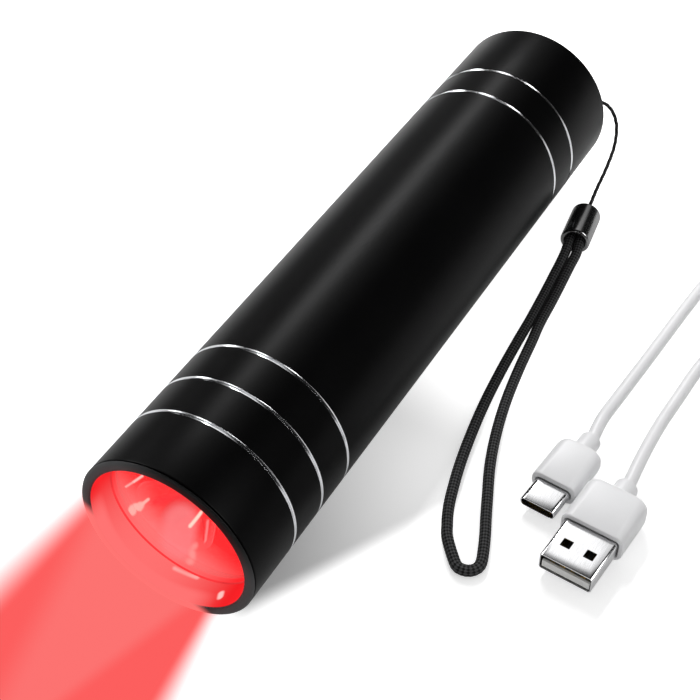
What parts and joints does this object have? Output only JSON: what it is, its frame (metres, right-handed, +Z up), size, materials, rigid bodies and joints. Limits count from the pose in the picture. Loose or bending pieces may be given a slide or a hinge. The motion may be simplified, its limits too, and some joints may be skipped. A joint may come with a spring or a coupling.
{
  "type": "red light therapy wand",
  "caption": "Torch-shaped black aluminium wand with a recessed red light head, tail push button, wrist strap and USB charging lead.",
  "frame": {"origin": "on the floor under the middle of the wand's length", "axes": "+X along the wand from tail to head, +Y towards the strap's side, +Z up"},
  "size_m": [0.2116, 0.114, 0.0399],
  "materials": {
    "black_anodised": "satin black anodised",
    "bare_aluminium": "turned",
    "black_rubber": "matte",
    "gasket_silicone": "satin",
    "lens_glass": "clear",
    "reflector_chrome": "mirror",
    "board_green": "solder mask",
    "board_white": "white solder mask",
    "red_emitter": "lit",
    "white_plastic": "satin",
    "black_plastic": "gloss",
    "plated_steel": "nickel plated",
    "brass": "plain",
    "cell_sleeve": "shrink sleeve",
    "led_wire_red": "satin",
    "led_wire_black": "satin",
    "strap_string": "nylon",
    "strap_braid": "braided nylon",
    "bead_plastic": "gloss"
  },
  "bodies": {
    "body": {"barrel": "black_anodised", "reflector": "reflector_chrome", "led_1": "red_emitter", "led_2": "red_emitter", "led_3": "red_emitter", "led_board": "board_white", "board_screw_1": "plated_steel", "board_screw_2": "plated_steel", "heat_sink": "bare_aluminium", "led_wire_red": "led_wire_red", "led_wire_black": "led_wire_black", "driver_board": "board_green", "usb_socket": "plated_steel", "board_spacer": "white_plastic", "contact_board": "board_green", "positive_contact": "brass", "battery_cell": "cell_sleeve"},
    "lens_stack": {"lens_gasket": "gasket_silicone", "front_lens": "lens_glass"},
    "bezel": {"bezel_ring": "black_anodised"},
    "flap": {"port_flap": "black_rubber"},
    "tail": {"tail_cap": "black_anodised", "tail_o_ring": "black_rubber", "battery_spring": "brass", "switch_board": "board_green", "switch_retainer": "brass", "switch_body": "black_plastic"},
    "button": {"power_button": "black_rubber", "switch_plunger": "white_plastic"},
    "strap": {"strap_string": "strap_string", "string_knot": "strap_string", "strap_bead": "bead_plastic", "strap_loop": "strap_braid"},
    "charging_lead": {"usb_c_shell": "plated_steel", "usb_c_core": "black_plastic", "usb_c_grip": "white_plastic", "usb_a_shell": "plated_steel", "usb_a_block": "white_plastic", "usb_a_grip": "white_plastic", "lead_cable": "white_plastic"}
  },
  "joints": [
    {"name": "bezel_travel", "type": "slide", "parent": "body", "child": "lens_stack", "axis": [1, 0, 0], "range_m": [0, 0.005]},
    {"name": "bezel_turn", "type": "hinge", "parent": "lens_stack", "child": "bezel", "pos_m": [0.08, 0, 0.01996], "axis": [1, 0, 0], "range_deg": [0, 1440]},
    {"name": "flap_hinge", "type": "hinge", "parent": "body", "child": "flap", "pos_m": [0.03362, -0.0197, 0.01996], "axis": [0, 0, -1], "range_deg": [0, 110]},
    {"name": "tail_cap_pull", "type": "slide", "parent": "body", "child": "tail", "axis": [-1, 0, 0], "range_m": [0, 0.012]},
    {"name": "button_press", "type": "slide", "parent": "tail", "child": "button", "axis": [1, 0, 0], "range_m": [0, 0.0015], "stiffness_N_per_m": 600},
    {"name": "strap_swing", "type": "hinge", "parent": "tail", "child": "strap", "pos_m": [-0.082, 0.0139, 0.02286], "axis": [1, 0, 0], "range_deg": [0, 110]},
    {"name": "lead_lift", "type": "slide", "parent": "body", "child": "charging_lead", "axis": [0, 0, 1], "range_m": [0, 0.05]}
  ],
  "couplings": [
    {"joint": "bezel_travel", "follows": "bezel_turn", "m_per_rad": 0.0001989}
  ]
}
